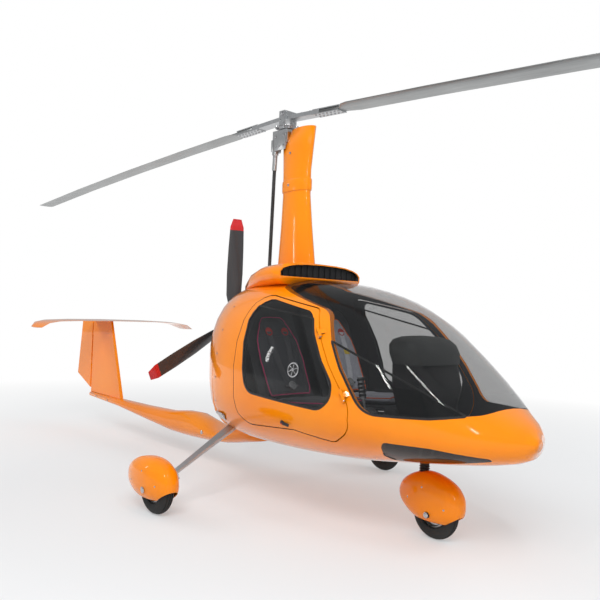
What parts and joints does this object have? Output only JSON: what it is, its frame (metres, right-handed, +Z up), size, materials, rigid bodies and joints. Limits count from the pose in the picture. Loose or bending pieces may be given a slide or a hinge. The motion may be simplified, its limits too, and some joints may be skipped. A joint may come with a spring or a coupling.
{
  "type": "two-seat gyrocopter",
  "caption": "Side-by-side gyrocopter with a closed bubble cabin, free rotor on a mast, pusher propeller, tall fin with rudder and faired tricycle gear.",
  "frame": {"origin": "on the ground under the rotor axis: the centre of the bounding box's bottom face", "axes": "+Z up, the nose towards -Y, starboard towards -X, the parked rotor lying fore and aft near Y"},
  "size_m": [2.322, 8.401, 2.757],
  "materials": {
    "orange_paint": "gloss painted composite",
    "tinted_glass": "clear tinted acrylic",
    "black_trim": "satin black",
    "cabin_grey": "matt dark grey composite",
    "seat_fabric": "stitched fabric",
    "aluminium": "satin",
    "steel": "satin",
    "tyre_rubber": "matt rubber",
    "prop_grey": "gloss carbon",
    "engine_grey": "cast"
  },
  "bodies": {
    "airframe": {"cabin_hull": "orange_paint", "engine_cowl": "orange_paint", "windscreen": "tinted_glass", "chin_window_starboard": "tinted_glass", "chin_window_port": "tinted_glass", "cabin_floor": "cabin_grey", "firewall": "cabin_grey", "seat_starboard": "cabin_grey", "seat_port": "cabin_grey", "seat_pad_starboard": "seat_fabric", "seat_pad_port": "seat_fabric", "instrument_panel": "black_trim", "stick_starboard": "steel", "stick_port": "steel", "engine_block": "engine_grey", "tail_boom": "orange_paint", "fin": "orange_paint", "stabiliser": "orange_paint", "mast_fairing": "orange_paint", "roof_scoop": "orange_paint", "prerotator_drive": "black_trim", "rotor_head": "aluminium", "gear_leg_starboard": "aluminium", "gear_leg_port": "aluminium", "pant_starboard": "orange_paint", "pant_port": "orange_paint"},
    "door_starboard": {"door_starboard": "orange_paint", "door_window_starboard": "tinted_glass"},
    "door_port": {"door_port": "orange_paint", "door_window_port": "tinted_glass"},
    "wheel_starboard": {"tyre_starboard": "tyre_rubber", "rim_starboard": "aluminium"},
    "wheel_port": {"tyre_port": "tyre_rubber", "rim_port": "aluminium"},
    "nose_leg": {"nose_fork": "black_trim", "pant_nose": "orange_paint"},
    "nose_wheel": {"tyre_nose": "tyre_rubber", "rim_nose": "aluminium"},
    "rudder": {"rudder": "orange_paint"},
    "propeller": {"propeller": "prop_grey"},
    "rotor_hub": {"teeter_tower": "aluminium"},
    "rotor": {"hub_bar": "aluminium", "rotor_blade_front": "aluminium", "rotor_blade_rear": "aluminium"}
  },
  "joints": [
    {"name": "door_starboard_hinge", "type": "hinge", "parent": "airframe", "child": "door_starboard", "pos_m": [-0.5744, -1.0201, 1.17], "axis": [0.1234, 0.5995, 0.7908], "range_deg": [0, 70]},
    {"name": "door_port_hinge", "type": "hinge", "parent": "airframe", "child": "door_port", "pos_m": [0.5744, -1.0201, 1.17], "axis": [0.1234, -0.5995, -0.7908], "range_deg": [0, 70]},
    {"name": "wheel_starboard_spin", "type": "hinge", "parent": "airframe", "child": "wheel_starboard", "pos_m": [-1.06, -0.12, 0.16], "axis": [1, 0, 0], "continuous": true},
    {"name": "wheel_port_spin", "type": "hinge", "parent": "airframe", "child": "wheel_port", "pos_m": [1.06, -0.12, 0.16], "axis": [1, 0, 0], "continuous": true},
    {"name": "nose_steer", "type": "hinge", "parent": "airframe", "child": "nose_leg", "pos_m": [0, -1.355, 0.4], "axis": [0, 0, 1], "range_deg": [-20, 20]},
    {"name": "nose_wheel_spin", "type": "hinge", "parent": "nose_leg", "child": "nose_wheel", "pos_m": [0, -1.445, 0.15], "axis": [1, 0, 0], "continuous": true},
    {"name": "rudder_hinge", "type": "hinge", "parent": "airframe", "child": "rudder", "pos_m": [0, 3.12, 0.7], "axis": [0, 0, 1], "range_deg": [-25, 25]},
    {"name": "rotor_spin", "type": "hinge", "parent": "airframe", "child": "rotor_hub", "pos_m": [0, 0, 2.64], "axis": [0, 0, 1], "continuous": true},
    {"name": "rotor_teeter", "type": "hinge", "parent": "rotor_hub", "child": "rotor", "pos_m": [0, 0, 2.735], "axis": [0.9993, 0.0384, 0], "range_deg": [-8, 8]},
    {"name": "propeller_spin", "type": "hinge", "parent": "airframe", "child": "propeller", "pos_m": [0, 0.605, 1.175], "axis": [0, 1, 0], "continuous": true}
  ]
}
